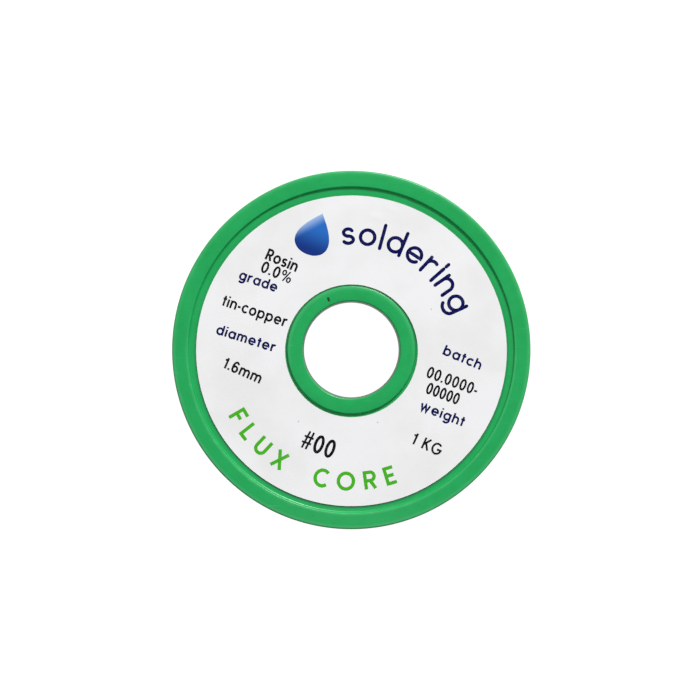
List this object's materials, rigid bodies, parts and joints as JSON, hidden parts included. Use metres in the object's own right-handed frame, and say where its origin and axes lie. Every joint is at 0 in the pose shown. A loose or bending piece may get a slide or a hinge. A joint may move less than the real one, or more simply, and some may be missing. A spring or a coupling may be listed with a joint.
{
  "type": "solder wire spool",
  "caption": "Flat plastic spool of resin-cored solder wire: two moulded halves with recessed flanges, a raised hub ring, a round through bore and a printed ring label on the front.",
  "frame": {"origin": "centre of the bore in the plane of the rear rim and the rear hub ring, which the spool lies on", "axes": "+Z along the bore axis, from the rear flange to the labelled front flange; +Y towards the top of the label as it lies; +X to the right"},
  "size_m": [0.11, 0.11, 0.046],
  "materials": {
    "spool_plastic": "moulded, satin, mid green",
    "label_paper": "coated white paper with navy, black, green and blue printing",
    "solder_alloy": "drawn tin alloy, soft satin silver",
    "flux_resin": "amber resin, slightly glossy where it is cut",
    "tape": "crepe paper tape, matt, cream"
  },
  "bodies": {
    "root": {"front_half": "spool_plastic", "rear_half": "spool_plastic", "front_label": "label_paper", "solder_winding": "solder_alloy", "wire_start": "solder_alloy", "wire_end": "solder_alloy", "flux_core": "flux_resin", "end_tape": "tape"}
  },
  "joints": []
}
